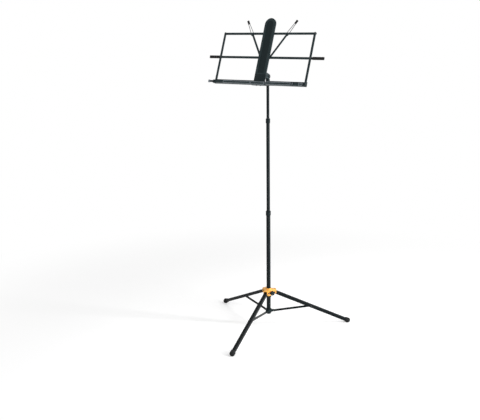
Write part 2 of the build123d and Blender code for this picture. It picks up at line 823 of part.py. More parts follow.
os.makedirs("parts", exist_ok=True)
for name, piece in build().items():
    export_step(piece, f"parts/{name}.step")

print(f"leg {leg_length:.1f} mm at {leg_slope:.2f} degrees")
print(f"brace {brace_length:.1f} mm at {brace_rise:.2f} degrees, pin radius {collar_pin_radius:.2f} mm")
print(f"tilt pivot at {tilt_pivot_height:.1f} mm, hub pins at radius {hub_pin_radius:.2f} mm")
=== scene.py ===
import json
from math import asin, atan2, cos, pi, radians, sin

import bmesh
import bpy
from mathutils import Matrix, Vector

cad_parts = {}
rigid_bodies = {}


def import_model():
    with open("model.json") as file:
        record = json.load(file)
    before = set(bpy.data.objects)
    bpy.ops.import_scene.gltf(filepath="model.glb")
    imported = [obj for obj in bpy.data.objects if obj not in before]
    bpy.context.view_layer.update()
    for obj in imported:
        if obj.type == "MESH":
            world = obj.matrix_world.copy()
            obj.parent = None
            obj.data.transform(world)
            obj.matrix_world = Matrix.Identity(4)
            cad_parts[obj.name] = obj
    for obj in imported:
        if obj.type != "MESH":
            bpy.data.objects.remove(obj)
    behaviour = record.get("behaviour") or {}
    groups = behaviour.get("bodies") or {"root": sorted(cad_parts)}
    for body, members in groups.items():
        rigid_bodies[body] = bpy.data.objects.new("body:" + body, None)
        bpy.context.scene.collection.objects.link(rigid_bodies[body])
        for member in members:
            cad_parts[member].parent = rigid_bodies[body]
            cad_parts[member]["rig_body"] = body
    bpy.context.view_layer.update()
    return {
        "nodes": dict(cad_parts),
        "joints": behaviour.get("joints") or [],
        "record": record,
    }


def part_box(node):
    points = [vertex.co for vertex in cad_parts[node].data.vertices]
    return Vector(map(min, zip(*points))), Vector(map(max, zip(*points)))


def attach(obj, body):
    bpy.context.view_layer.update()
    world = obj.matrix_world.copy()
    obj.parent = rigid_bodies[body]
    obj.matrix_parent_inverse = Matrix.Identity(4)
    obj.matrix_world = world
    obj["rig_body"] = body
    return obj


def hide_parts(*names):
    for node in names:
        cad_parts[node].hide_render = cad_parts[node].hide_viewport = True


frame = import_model()

# where things are, all in metres
joints = {joint["name"]: joint for joint in frame["joints"]}
mounts = {mount["name"]: mount for mount in frame["record"]["mounts"]}
slotOf = {part["node"]: part["material_slot"] for part in frame["record"]["subparts"]}
legNames = ("right", "left", "front")
sides = {"right": 1, "left": -1}
tiltPivot = Vector(joints["desk_tilt"]["pos_m"])
shelfUp = Vector(mounts["shelf_floor"]["axis"])
deskSet = {
    "setback": 0.060,        # tilt pivot behind the front of the bars
    "aboveShelf": 0.0648,    # and above the underside of the trough
}
deskMatrix = (
    Matrix.Translation(tiltPivot)
    @ Matrix.Rotation(-atan2(shelfUp.y, shelfUp.z), 4, "X")
    @ Matrix.Translation((0, -deskSet["setback"], -deskSet["aboveShelf"]))
)


def onDesk(spot):
    return deskMatrix.inverted() @ Vector(spot)


def fromDesk(x, y, z):
    return deskMatrix @ Vector((x, y, z))


barHeights = {
    bar: onDesk(joints[f"{bar}_right_fold"]["pos_m"]).z for bar in ("wing", "middle", "top")
}
wingPivot = onDesk(joints["wing_right_fold"]["pos_m"]).x
halfDesk = onDesk(joints["edge_right_turn"]["pos_m"]).x


def spanIn(matrix, node):
    back = matrix.inverted()
    corners = [back @ vertex.co for vertex in frame["nodes"][node].data.vertices]
    low = Vector([min(corner[axis] for corner in corners) for axis in range(3)])
    high = Vector([max(corner[axis] for corner in corners) for axis in range(3)])
    return low, high


# small tools used by every piece
sameSpot = 1e-6         # metres, and what lies closer is in one place
aligned = 0.99          # share of a direction that counts as the whole of it
smoothAngle = 35        # degrees, flatter edges are shaded smooth
roundAngle = 40         # the same on round pieces
sharpAngle = 50         # steeper edges are bevelled
edgeSteps = 3           # facets across a rounded edge


def deselectAll():
    bpy.ops.object.select_all(action="DESELECT")


def makeActive(piece):
    deselectAll()
    piece.select_set(True)
    bpy.context.view_layer.objects.active = piece


def named(name):
    piece = bpy.context.object
    piece.name = name
    piece.data.name = name
    return piece


def addBlock(name, size, centre):
    deselectAll()
    bpy.ops.mesh.primitive_cube_add(size=1, location=centre)
    piece = named(name)
    piece.scale = size
    bpy.ops.object.transform_apply(location=True, rotation=True, scale=True)
    return piece


def addRound(name, radius, depth, sidesRound, fill="NGON"):
    deselectAll()
    bpy.ops.mesh.primitive_cylinder_add(
        vertices=sidesRound, radius=radius, depth=depth, end_fill_type=fill
    )
    return named(name)


def addBall(name, radius, segments, rings):
    deselectAll()
    bpy.ops.mesh.primitive_uv_sphere_add(segments=segments, ring_count=rings, radius=radius)
    return named(name)


def pick(piece, kind, test):
    bpy.ops.object.mode_set(mode="EDIT")
    bpy.ops.mesh.select_mode(type=kind)
    bpy.ops.mesh.select_all(action="DESELECT")
    shape = bmesh.from_edit_mesh(piece.data)
    for part in {"FACE": shape.faces, "EDGE": shape.edges, "VERT": shape.verts}[kind]:
        if test(part):
            part.select_set(True)
    bmesh.update_edit_mesh(piece.data)


def edgeMiddle(edge):
    return (edge.verts[0].co + edge.verts[1].co) / 2


def edgeAlong(edge, axis):
    run = edge.verts[1].co - edge.verts[0].co
    return abs(run[axis]) > aligned * run.length


def edgeAt(edge, axis, place):
    return all(abs(vertex.co[axis] - place) < sameSpot for vertex in edge.verts)


def bevelPicked(width, steps=edgeSteps):
    bpy.ops.mesh.bevel(offset=width, segments=steps, affect="EDGES")


def editAll(piece):
    makeActive(piece)
    bpy.ops.object.mode_set(mode="EDIT")
    bpy.ops.mesh.select_all(action="SELECT")


def stopEditing():
    bpy.ops.object.mode_set(mode="OBJECT")


def cutAt(piece, spot, direction, **options):
    editAll(piece)
    bpy.ops.mesh.bisect(plane_co=spot, plane_no=direction, **options)
    stopEditing()


def useModifier(piece, kind, **settings):
    makeActive(piece)
    modifier = piece.modifiers.new(kind.title(), kind)
    for name, value in settings.items():
        setattr(modifier, name, value)
    bpy.ops.object.modifier_apply(modifier=modifier.name)


def thicken(piece, wall):
    useModifier(piece, "SOLIDIFY", thickness=wall, offset=-1, use_even_offset=True)


def combine(piece, other, operation):
    useModifier(piece, "BOOLEAN", operation=operation, solver="EXACT", object=other)
    bpy.data.objects.remove(other)


def smooth(piece, angle=smoothAngle):
    makeActive(piece)
    bpy.ops.object.shade_smooth_by_angle(angle=radians(angle))


def place(piece, matrix):
    makeActive(piece)
    piece.matrix_world = matrix
    bpy.ops.object.transform_apply(location=True, rotation=True, scale=True)


def copyOf(master, name, matrix):
    piece = bpy.data.objects.new(name, master.data.copy())
    bpy.context.scene.collection.objects.link(piece)
    place(piece, matrix)
    return piece


def joined(pieces, name):
    makeActive(pieces[0])
    for piece in pieces:
        piece.select_set(True)
    bpy.ops.object.join()
    return named(name)


def tidyNormals(piece):
    editAll(piece)
    bpy.ops.mesh.remove_doubles(threshold=sameSpot)
    bpy.ops.mesh.normals_make_consistent(inside=False)
    stopEditing()


def facing(spot, outward):
    return Matrix.Translation(spot) @ Vector(outward).to_track_quat("Z", "Y").to_matrix().to_4x4()


def stretched(x, y, z):
    return Matrix.Diagonal((x, y, z, 1))


def onSide(out, spot):
    return Matrix.Translation((out * spot.x, spot.y, spot.z))


def fit(piece, body, slot, *replaced):
    piece.data.materials.clear()
    piece.data.materials.append(looks[slot])
    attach(piece, body)
    if replaced:
        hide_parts(*replaced)


def bodyOf(node):
    return frame["nodes"][node]["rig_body"]


# finishes
finishSet = {
    "cloudDetail": 3,
    "deepAt": 0.36,          # cloud values that have the two tones
    "paleAt": 0.64,
    "smoothAt": 0.3,         # and those that are smoothest and roughest
    "roughAt": 0.7,
    "grainDetail": 2,
}


def noiseAt(tree, where, scale, detail, stretch):
    mapping = tree.nodes.new("ShaderNodeMapping")
    mapping.inputs["Scale"].default_value = stretch
    noise = tree.nodes.new("ShaderNodeTexNoise")
    noise.inputs["Scale"].default_value = scale
    noise.inputs["Detail"].default_value = detail
    tree.links.new(where, mapping.inputs["Vector"])
    tree.links.new(mapping.outputs["Vector"], noise.inputs["Vector"])
    return noise.outputs["Fac"]


def mottledFinish(name, look):
    material = bpy.data.materials.new(name)
    material.use_nodes = True
    tree = material.node_tree
    shader = tree.nodes["Principled BSDF"]
    where = tree.nodes.new("ShaderNodeTexCoord").outputs["Object"]

    # cloudy tone and gloss, as sprayed or moulded surfaces have
    cloud = noiseAt(tree, where, look["cloudScale"], finishSet["cloudDetail"], look["cloudStretch"])
    tones = tree.nodes.new("ShaderNodeValToRGB")
    tones.color_ramp.elements[0].position = finishSet["deepAt"]
    tones.color_ramp.elements[1].position = finishSet["paleAt"]
    tones.color_ramp.elements[0].color = (*look["deepTone"], 1)
    tones.color_ramp.elements[1].color = (*look["paleTone"], 1)
    gloss = tree.nodes.new("ShaderNodeMapRange")
    gloss.inputs["From Min"].default_value = finishSet["smoothAt"]
    gloss.inputs["From Max"].default_value = finishSet["roughAt"]
    gloss.inputs["To Min"].default_value = look["smoothest"]
    gloss.inputs["To Max"].default_value = look["roughest"]
    tree.links.new(cloud, tones.inputs["Fac"])
    tree.links.new(cloud, gloss.inputs["Value"])
    tree.links.new(tones.outputs["Color"], shader.inputs["Base Color"])
    tree.links.new(gloss.outputs["Result"], shader.inputs["Roughness"])

    # fine grain that catches the light
    grain = noiseAt(tree, where, look["grainScale"], finishSet["grainDetail"], look["grainStretch"])
    bump = tree.nodes.new("ShaderNodeBump")
    bump.inputs["Strength"].default_value = look["grainStrength"]
    bump.inputs["Distance"].default_value = look["grainDepth"]
    tree.links.new(grain, bump.inputs["Height"])
    tree.links.new(bump.outputs["Normal"], shader.inputs["Normal"])

    shader.inputs["Metallic"].default_value = look["metal"]
    shader.inputs["Specular IOR Level"].default_value = look["shine"]
    shader.inputs["Specular Tint"].default_value = (*look["tint"], 1)
    return material


even = (1, 1, 1)
drawnUp = (1, 1, 0.04)      # streaks along a drawn tube
turned = (1, 6, 1)          # fine lines on turned steel
untinted = (1, 1, 1)
plainLook = {"cloudStretch": even, "grainStretch": even, "metal": 0.0, "tint": untinted}

tubeLook = plainLook | {
    "deepTone": (0.0040, 0.0060, 0.0068), "paleTone": (0.0068, 0.0095, 0.0105),
    "cloudScale": 60, "cloudStretch": drawnUp, "smoothest": 0.30, "roughest": 0.40,
    "grainScale": 1500, "grainStrength": 0.06, "grainDepth": 0.0001,
    "shine": 0.1, "tint": (0.85, 0.96, 1.0),
}
legLook = plainLook | {
    "deepTone": (0.0026, 0.0040, 0.0045), "paleTone": (0.0044, 0.0064, 0.0070),
    "cloudScale": 45, "smoothest": 0.16, "roughest": 0.22,
    "grainScale": 1300, "grainStrength": 0.06, "grainDepth": 0.0001,
    "shine": 0.1, "tint": (0.88, 0.97, 1.0),
}
deskLook = plainLook | {
    "deepTone": (0.0165, 0.0255, 0.0275), "paleTone": (0.0245, 0.0360, 0.0385),
    "cloudScale": 40, "smoothest": 0.28, "roughest": 0.38,
    "grainScale": 1100, "grainStrength": 0.12, "grainDepth": 0.00015,
    "shine": 0.12, "tint": (0.75, 0.95, 1.0),
}
# pale grey which, on the shelf's lips, is painted reflection of the white surroundings
shelfLook = plainLook | {
    "deepTone": (0.14, 0.16, 0.175), "paleTone": (0.18, 0.20, 0.22),
    "cloudScale": 40, "smoothest": 0.36, "roughest": 0.48,
    "grainScale": 1100, "grainStrength": 0.18, "grainDepth": 0.00025,
    "shine": 0.3, "tint": (0.85, 0.95, 1.0),
}
hubLook = plainLook | {
    "deepTone": (0.80, 0.37, 0.062), "paleTone": (0.90, 0.46, 0.095),
    "cloudScale": 55, "smoothest": 0.36, "roughest": 0.48,
    "grainScale": 2400, "grainStrength": 0.14, "grainDepth": 0.00015,
    "shine": 0.4,
}
plasticLook = plainLook | {
    "deepTone": (0.0036, 0.0068, 0.0078), "paleTone": (0.0060, 0.0096, 0.0108),
    "cloudScale": 70, "smoothest": 0.46, "roughest": 0.58,
    "grainScale": 2600, "grainStrength": 0.3, "grainDepth": 0.00015,
    "shine": 0.18, "tint": (0.72, 0.95, 1.0),
}
rubberLook = plainLook | {
    "deepTone": (0.0026, 0.0030, 0.0033), "paleTone": (0.0046, 0.0051, 0.0054),
    "cloudScale": 90, "smoothest": 0.68, "roughest": 0.82,
    "grainScale": 1800, "grainStrength": 0.35, "grainDepth": 0.0002,
    "shine": 0.25,
}
wireLook = plainLook | {
    "deepTone": (0.0030, 0.0042, 0.0048), "paleTone": (0.0052, 0.0066, 0.0074),
    "cloudScale": 120, "smoothest": 0.3, "roughest": 0.4,
    "grainScale": 2000, "grainStrength": 0.1, "grainDepth": 0.0001,
    "shine": 0.12,
}
fastenerLook = plainLook | {
    "deepTone": (0.03, 0.032, 0.034), "paleTone": (0.055, 0.058, 0.062),
    "cloudScale": 200, "smoothest": 0.32, "roughest": 0.45,
    "grainScale": 3000, "grainStretch": turned, "grainStrength": 0.2, "grainDepth": 0.0001,
    "metal": 0.7, "shine": 0.3,
}
looks = {
    "tube_paint": mottledFinish("satinTubeBlack", tubeLook),
    "leg_paint": mottledFinish("satinLegBlack", legLook),
    "desk_paint": mottledFinish("powderDeskBlack", deskLook),
    "shelf_paint": mottledFinish("paleGreyAndPaintedReflection", shelfLook),
    "hub_orange": mottledFinish("mouldedAmber", hubLook),
    "black_plastic": mottledFinish("mouldedBlack", plasticLook),
    "rubber": mottledFinish("matBlackRubber", rubberLook),
    "wire": mottledFinish("coatedWire", wireLook),
    "fastener": mottledFinish("blackenedSteel", fastenerLook),
}
for node, cadPiece in frame["nodes"].items():
    cadPiece.material_slots[0].material = looks[slotOf[node]]
print("finishes ready:", len(looks))


# pressed and moulded parts with their edges eased, from copies of the frame's own shapes
easedEdges = {
    "hub": 0.0009, "lower_collar": 0.0004, "hub_knob": 0.0008, "tilt_knob": 0.0008,
    "mast_head": 0.0004, "desk_bracket": 0.0005, "spine": 0.0012, "spine_foot": 0.0010,
    "shelf_trough": 0.0004, "shelf_clip": 0.0003, "tilt_bolt": 0.0004,
}
easedOnBothSides = {
    "shelf_bar": 0.0004, "corner_block": 0.0005, "side_bar": 0.0006, "mid_bar": 0.0006,
    "top_bar": 0.0006, "page_arm": 0.0004,
}
easedOnEachLeg = {"brace": 0.0007}
easeSet = {"flatAngle": 0.5, "steps": 2}
# the shelf's sheet keeps the desk's dark paint; the pale grey on its lips is painted reflection
darkShelf = ("shelf_bar_right", "shelf_bar_left", "shelf_trough")    # only their lips are pale
for part, width in easedOnBothSides.items():
    for side in sides:
        easedEdges[f"{part}_{side}"] = width
for part, width in easedOnEachLeg.items():
    for leg in legNames:
        easedEdges[f"{part}_{leg}"] = width


def easeEdges(node, width):
    piece = copyOf(frame["nodes"][node], f"{node}_eased", Matrix())
    editAll(piece)
    bpy.ops.mesh.remove_doubles(threshold=sameSpot)
    bpy.ops.mesh.dissolve_limited(angle_limit=radians(easeSet["flatAngle"]))
    stopEditing()
    useModifier(
        piece, "BEVEL", width=width, segments=easeSet["steps"], limit_method="ANGLE",
        angle_limit=radians(sharpAngle), miter_outer="MITER_ARC", use_clamp_overlap=True,
    )
    smooth(piece)
    # shelf sheet in dark paint, so that only its lips show the pale painted reflection
    slot = "desk_paint" if node in darkShelf else slotOf[node]
    fit(piece, bodyOf(node), slot, node)


for node, width in easedEdges.items():
    easeEdges(node, width)
print("eased edges on", len(easedEdges), "pieces")


# legs, pressed channels with a shallow groove along the top
legSet = {
    "width": 0.015,
    "height": 0.0165,
    "wall": 0.0015,
    "edge": 0.0008,
    "grooveFlank": 0.0005,    # flat beside the groove
    "grooveSlope": 0.0003,
    "grooveDepth": 0.0010,
    "endGap": 0.003,          # from the end of the channel to the middle of the foot
    "noseShare": 0.98,        # of half the height, just short of a full round
    "noseSteps": 8,
    "openBelow": 0.9,         # faces that look down by more than this share are left out
}
footSet = {
    "ball": 0.0135,
    "segments": 48,
    "rings": 32,
    "wear": 0.0015,           # taken off the ball where it stands
    "soleEdge": 0.0008,
    "sleeveLength": 0.015,
    "sleeveWall": 0.0022,
    "sleeveEdge": 0.0016,
    "ringRadius": 0.0122,
    "ringThickness": 0.0011,
    "ringFacets": 12,
    "ringPlaces": (-0.0035, 0.0),
}


def legFrame(leg):
    hinge = joints[f"leg_{leg}_fold"]
    pin = Vector(hinge["pos_m"])
    across = Vector(hinge["axis"])
    rise = Vector((0, 0, footSet["ball"] - footSet["wear"]))
    foot = Vector(mounts[f"sole_{leg}"]["pos_m"]) + rise
    along = (foot - pin).normalized()
    up = along.cross(across)
    turn = Matrix((along, across, up)).transposed().to_4x4()
    return Matrix.Translation(pin) @ turn, (foot - pin).length, foot


def makeLeg(length):
    nose = legSet["height"] / 2
    run = length - legSet["endGap"] + nose
    size = (run, legSet["width"], legSet["height"])
    leg = addBlock("legMaster", size, (run / 2 - nose, 0, 0))
    pick(leg, "EDGE", lambda e: edgeAlong(e, 1) and edgeMiddle(e).x < 0)
    bevelPicked(nose * legSet["noseShare"], legSet["noseSteps"])
    pick(leg, "EDGE", lambda e: edgeAlong(e, 0) and edgeMiddle(e).z > 0)
    bevelPicked(legSet["edge"])
    pick(leg, "FACE", lambda f: f.normal.z > aligned)
    bpy.ops.mesh.inset(thickness=legSet["grooveFlank"])
    bpy.ops.mesh.inset(thickness=legSet["grooveSlope"], depth=-legSet["grooveDepth"])
    pick(leg, "FACE", lambda f: f.normal.z < -legSet["openBelow"] or f.normal.x > aligned)
    bpy.ops.mesh.delete(type="FACE")
    stopEditing()
    thicken(leg, legSet["wall"])
    smooth(leg)
    return leg


def makeFoot(slope):
    foot = addBall("footMaster", footSet["ball"], footSet["segments"], footSet["rings"])
    floorAt = footSet["wear"] - footSet["ball"]
    cutAt(foot, (0, 0, floorAt), (0, 0, 1), use_fill=True, clear_inner=True)
    pick(foot, "EDGE", lambda e: edgeAt(e, 2, floorAt))
    bevelPicked(footSet["soleEdge"])
    stopEditing()

    # sleeve over the end of the leg, and two moulded rings where it meets the ball
    reach = footSet["sleeveLength"]
    wide = legSet["width"] + 2 * footSet["sleeveWall"]
    tall = legSet["height"] + 2 * footSet["sleeveWall"]
    sleeve = addBlock("footSleeve", (reach, wide, tall), (-reach / 2, 0, 0))
    pick(sleeve, "EDGE", lambda e: edgeAlong(e, 0) or edgeAt(e, 0, -reach))
    bevelPicked(footSet["sleeveEdge"])
    stopEditing()
    extras = [sleeve]
    for x in footSet["ringPlaces"]:
        deselectAll()
        bpy.ops.mesh.primitive_torus_add(
            location=(x, 0, 0), rotation=(0, pi / 2, 0),
            major_segments=footSet["segments"], minor_segments=footSet["ringFacets"],
            major_radius=footSet["ringRadius"], minor_radius=footSet["ringThickness"],
        )
        extras.append(named("footRing"))
    for extra in extras:
        place(extra, Matrix.Rotation(slope, 4, "Y") @ extra.matrix_world)
        cutAt(extra, (0, 0, floorAt), (0, 0, 1), use_fill=True, clear_inner=True)
        combine(foot, extra, "UNION")
    smooth(foot, roundAngle)
    return foot


matrix, length, footCentre = legFrame(legNames[0])
legMaster = makeLeg(length)
footMaster = makeFoot(asin(-matrix.to_3x3().col[0].z))
for leg in legNames:
    matrix, length, footCentre = legFrame(leg)
    turn = Matrix.Rotation(atan2(footCentre.y, footCentre.x), 4, "Z")
    legPiece = copyOf(legMaster, f"legChannel_{leg}", matrix)
    footPiece = copyOf(footMaster, f"rubberFoot_{leg}", Matrix.Translation(footCentre) @ turn)
    fit(legPiece, f"leg_{leg}", "leg_paint", f"leg_{leg}")
    fit(footPiece, f"leg_{leg}", "rubber", f"foot_{leg}")
bpy.data.objects.remove(legMaster)
bpy.data.objects.remove(footMaster)
print("legs and feet done")


# twist rings with a ribbed grip
clutchSet = {
    "ribs": 30,
    "ribRim": 0.0002,        # rim left round each groove
    "grooveDepth": 0.0006,
    "edge": 0.0010,
    "edgeSteps": 4,
    "lip": 0.005,            # depth of the small bore at the upper end
    "clear": 0.0003,         # round both tubes
}


def growLoop(radius, height, steps):
    for newRadius, newHeight in steps:
        move = {"value": (0, 0, newHeight - height)}
        bpy.ops.mesh.extrude_region_move(TRANSFORM_OT_translate=move)
        scale = newRadius / radius
        bpy.ops.transform.resize(value=(scale, scale, 1), center_override=(0, 0, newHeight))
        radius, height = newRadius, newHeight


def makeClutchRing(name, node, outerTube, innerTube):
    low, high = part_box(node)
    outer = (high.y - low.y) / 2
    half = (high.z - low.z) / 2
    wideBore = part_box(outerTube)[1].x + clutchSet["clear"]
    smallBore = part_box(innerTube)[1].x + clutchSet["clear"]
    edge = clutchSet["edge"]
    ribStep = pi / clutchSet["ribs"]
    ring = addRound(name, outer, 2 * (half - edge), 2 * clutchSet["ribs"], "NOTHING")

    def isGroove(face):
        middle = face.calc_center_median()
        return round(atan2(middle.y, middle.x) / ribStep - 0.5) % 2 == 0

    pick(ring, "FACE", isGroove)
    bpy.ops.mesh.inset(
        thickness=clutchSet["ribRim"], depth=-clutchSet["grooveDepth"], use_individual=True
    )
    for end in (1, -1):
        rim = []
        for step in range(1, clutchSet["edgeSteps"] + 1):
            turn = pi / 2 * step / clutchSet["edgeSteps"]
            rim.append((outer - edge * (1 - cos(turn)), end * (half - edge + edge * sin(turn))))
        if end > 0:
            inside = half - clutchSet["lip"]
            rim += [(smallBore, half), (smallBore, inside), (wideBore, inside)]
        else:
            rim.append((wideBore, -half))
        pick(ring, "EDGE", lambda e: e.is_boundary and edgeAt(e, 2, end * (half - edge)))
        growLoop(outer, end * (half - edge), rim)
    pick(ring, "EDGE", lambda e: e.is_boundary)
    bpy.ops.mesh.bridge_edge_loops()
    stopEditing()
    tidyNormals(ring)
    smooth(ring, roundAngle)
    place(ring, Matrix.Translation((0, 0, (low.z + high.z) / 2)))
    fit(ring, bodyOf(node), slotOf[node], node)


makeClutchRing("ribbedRing_lower", "lower_clutch_ring", "lower_tube", "middle_tube")
makeClutchRing("ribbedRing_upper", "upper_clutch_ring", "middle_tube", "upper_tube")
print("twist rings done")


# plain ring that the hub rests on
ringSet = {"height": 0.0085, "wall": 0.0027, "edge": 0.0009, "clear": 0.0002, "sidesRound": 64}


def makeHubRing():
    wall = ringSet["wall"]
    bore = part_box("lower_tube")[1].x + ringSet["clear"]
    ring = addRound("hubRing", bore + wall, ringSet["height"], ringSet["sidesRound"], "NOTHING")
    thicken(ring, wall)
    useModifier(
        ring, "BEVEL", width=ringSet["edge"], segments=edgeSteps, limit_method="ANGLE",
        angle_limit=radians(sharpAngle),
    )
    smooth(ring, roundAngle)
    place(ring, Matrix.Translation((0, 0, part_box("hub")[0].z - ringSet["height"] / 2)))
    fit(ring, "hub", "black_plastic")


makeHubRing()
print("hub ring done")


# round cap in the middle of each clamp knob
capSet = {
    "radius": 0.0056, "height": 0.0016, "edge": 0.0006, "rim": 0.0013, "dish": 0.0004,
    "dishSlope": 1 / 3,       # as a share of the rim
    "sidesRound": 40,
}
capKnobs = {
    "hub_knob": Vector(joints["hub_knob_turn"]["axis"]),
    "tilt_knob": Vector((-1, 0, 0)),
}


def makeKnobCap():
    cap = addRound("capMaster", capSet["radius"], capSet["height"], capSet["sidesRound"])
    top = capSet["height"] / 2
    innermost = capSet["radius"] - capSet["rim"] / 2
    pick(cap, "FACE", lambda f: f.normal.z > aligned)
    bpy.ops.mesh.inset(thickness=capSet["rim"])
    bpy.ops.mesh.inset(thickness=capSet["rim"] * capSet["dishSlope"], depth=-capSet["dish"])
    pick(cap, "EDGE", lambda e: edgeAt(e, 2, top) and edgeMiddle(e).xy.length > innermost)
    bevelPicked(capSet["edge"])
    stopEditing()
    smooth(cap, roundAngle)
    return cap


capMaster = makeKnobCap()
for node, outward in capKnobs.items():
    middle = sum(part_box(node), Vector()) / 2
    reach = max(vertex.co.dot(outward) for vertex in frame["nodes"][node].data.vertices)
    spot = middle + outward * (reach - middle.dot(outward))
    cap = copyOf(capMaster, f"{node}_cap", facing(spot, outward))
    fit(cap, bodyOf(node), "black_plastic")
bpy.data.objects.remove(capMaster)
print("knob caps done")


# dark band let into the middle of the spine, painted shade where the spine's recess would be in
# shadow
paintedShadeSet = {
    "border": 0.0134,         # left of the spine's face to each side
    "foot": 0.0069,           # left of it at the lower end
    "sunk": 0.0007,           # below the spine's face
    "thickness": 0.0008,
    "sidesRound": 96,
    "frameWidth": 0.0016,
    "frameDepth": 0.0002,
}


def makePaintedShade():
    low, high = spanIn(deskMatrix, "spine")
    radius = high.x - paintedShadeSet["border"]
    centre = high.z - high.x
    shadeBand = addRound("spinePaintedShade", radius, paintedShadeSet["thickness"], paintedShadeSet["sidesRound"])
    cutAt(shadeBand, (0, 0, 0), (0, 1, 0), use_fill=True, clear_inner=True)
    pick(shadeBand, "FACE", lambda f: f.normal.y < -aligned)
    reach = centre - low.z - paintedShadeSet["foot"]
    bpy.ops.mesh.extrude_region_move(TRANSFORM_OT_translate={"value": (0, -reach, 0)})
    pick(shadeBand, "FACE", lambda f: f.normal.z > aligned)
    bpy.ops.mesh.dissolve_faces()
    bpy.ops.mesh.inset(thickness=paintedShadeSet["frameWidth"])
    bpy.ops.mesh.inset(thickness=paintedShadeSet["frameDepth"], depth=-paintedShadeSet["frameDepth"])
    stopEditing()
    smooth(shadeBand)
    y = low.y + paintedShadeSet["sunk"] + paintedShadeSet["thickness"] / 2
    place(shadeBand, deskMatrix @ Matrix.Translation((0, y, centre)) @ Matrix.Rotation(pi / 2, 4, "X"))
    # the band's black is painted shade in the recess
    fit(shadeBand, "desk", "black_plastic")


makePaintedShade()
print("spine band done")


# rubber sleeves on the middle bar's ends and rubber shoes on the page supports
sleeveSet = {
    "edge": 0.0021, "endEdge": 0.0016, "grooveHalf": 0.0008, "squeeze": (1, 0.88, 0.93),
    "grooves": (0.35, 0.5, 0.65, 0.8),     # along the sleeve, as shares of its length
}
shoeSet = {
    "edge": 0.0017, "endEdge": 0.0020, "grooveHalf": 0.0005, "squeeze": (1, 0.86, 0.93),
    "grooves": (0.2, 0.34, 0.48),
}
gripSet = {"edgeSteps": 5, "endSteps": 4}
armSet = {"lean": 31.7}       # degrees from the desk's upright


def makeGrip(name, size, look):
    grip = addBlock(name, size, (0, 0, 0))
    half = size[0] / 2
    pick(grip, "EDGE", lambda e: edgeAlong(e, 0))
    bevelPicked(look["edge"], gripSet["edgeSteps"])
    pick(grip, "EDGE", lambda e: edgeAt(e, 0, half))
    bevelPicked(look["endEdge"], gripSet["endSteps"])
    stopEditing()
    for share in look["grooves"]:
        x = (share - 0.5) * size[0]
        for cut in (x - look["grooveHalf"], x, x + look["grooveHalf"]):
            cutAt(grip, (cut, 0, 0), (1, 0, 0))
        pick(grip, "VERT", lambda v: abs(v.co.x - x) < sameSpot)
        bpy.ops.transform.resize(value=look["squeeze"], center_override=(x, 0, 0))
        stopEditing()
    smooth(grip, roundAngle)
    return grip


def armFrame(side):
    out = sides[side]
    pivot = Matrix.Translation((out * wingPivot, 0, barHeights["middle"]))
    return deskMatrix @ pivot @ Matrix.Rotation(out * radians(armSet["lean"]), 4, "Y")


sleeveLow, sleeveHigh = spanIn(deskMatrix, "bar_sleeve_right")
sleeveMaster = makeGrip("sleeveMaster", sleeveHigh - sleeveLow, sleeveSet)
shoeLow, shoeHigh = spanIn(armFrame("right"), "page_tip_right")
shoeSize = shoeHigh - shoeLow
shoeMaster = makeGrip("shoeMaster", (shoeSize.z, shoeSize.y, shoeSize.x), shoeSet)
for side, out in sides.items():
    spot = deskMatrix @ onSide(out, (sleeveLow + sleeveHigh) / 2)
    turn = Matrix.Rotation(0 if out > 0 else pi, 4, "Z")
    sleeve = copyOf(sleeveMaster, f"barSleeve_{side}", spot @ turn)
    fit(sleeve, bodyOf(f"bar_sleeve_{side}"), "rubber", f"bar_sleeve_{side}")
    spot = armFrame(side) @ onSide(out, (shoeLow + shoeHigh) / 2)
    shoe = copyOf(shoeMaster, f"pageShoe_{side}", spot @ Matrix.Rotation(-pi / 2, 4, "Y"))
    fit(shoe, bodyOf(f"page_tip_{side}"), "rubber", f"page_tip_{side}")
bpy.data.objects.remove(sleeveMaster)
bpy.data.objects.remove(shoeMaster)
print("sleeves and shoes done")


# domed heads on rivets and pins, and cross recesses on the screws
# a head is modelled with a radius and a height of 1 and then stretched to its size
headSet = {
    "segments": 32, "rings": 16, "flat": 0.9, "dimple": 0.10, "dimpleDepth": 0.12,
    "crossLength": 1.15, "crossWidth": 0.24, "crossDepth": 0.55,
}
rivetSet = {"radius": 0.0041, "height": 0.0011}
spineRivetSet = {"radius": 0.0041, "height": 0.0004}     # low, so that the page supports swing past
pinSet = {"radius": 0.0039, "height": 0.0010, "reach": 0.0132}     # reach from the leg's middle
legRivetSet = {"radius": 0.0042, "height": 0.0018}
screwSet = {"radius": 0.0029, "height": 0.0010, "rows": 0.032}     # rows, from one to the other


def makeHead(name, crossed):
    head = addBall(name, 1, headSet["segments"], headSet["rings"])
    cutAt(head, (0, 0, 0), (0, 0, 1), use_fill=True, clear_inner=True)
    cutAt(head, (0, 0, headSet["flat"]), (0, 0, 1), use_fill=True, clear_outer=True)
    if crossed:
        long, narrow = headSet["crossLength"], headSet["crossWidth"]
        for size in ((long, narrow), (narrow, long)):
            slot = addBlock("crossSlot", (*size, headSet["crossDepth"]), (0, 0, headSet["flat"]))
            combine(head, slot, "DIFFERENCE")
    else:
        pick(head, "FACE", lambda f: f.normal.z > aligned)
        bpy.ops.mesh.inset(thickness=headSet["dimple"], depth=-headSet["dimpleDepth"])
        stopEditing()
    return head


def addHeads(name, master, size, spots, body):
    heads = []
    for number, (spot, outward) in enumerate(spots):
        matrix = facing(spot, outward) @ stretched(size["radius"], size["radius"], size["height"])
        heads.append(copyOf(master, f"{name}_{number}", matrix))
    piece = joined(heads, name)
    smooth(piece, roundAngle)
    fit(piece, body, "fastener")


def bothEnds(hinge, reach):
    middle = Vector(hinge["pos_m"])
    across = Vector(hinge["axis"]).normalized()
    return [(middle + across * reach * end, across * end) for end in (1, -1)]


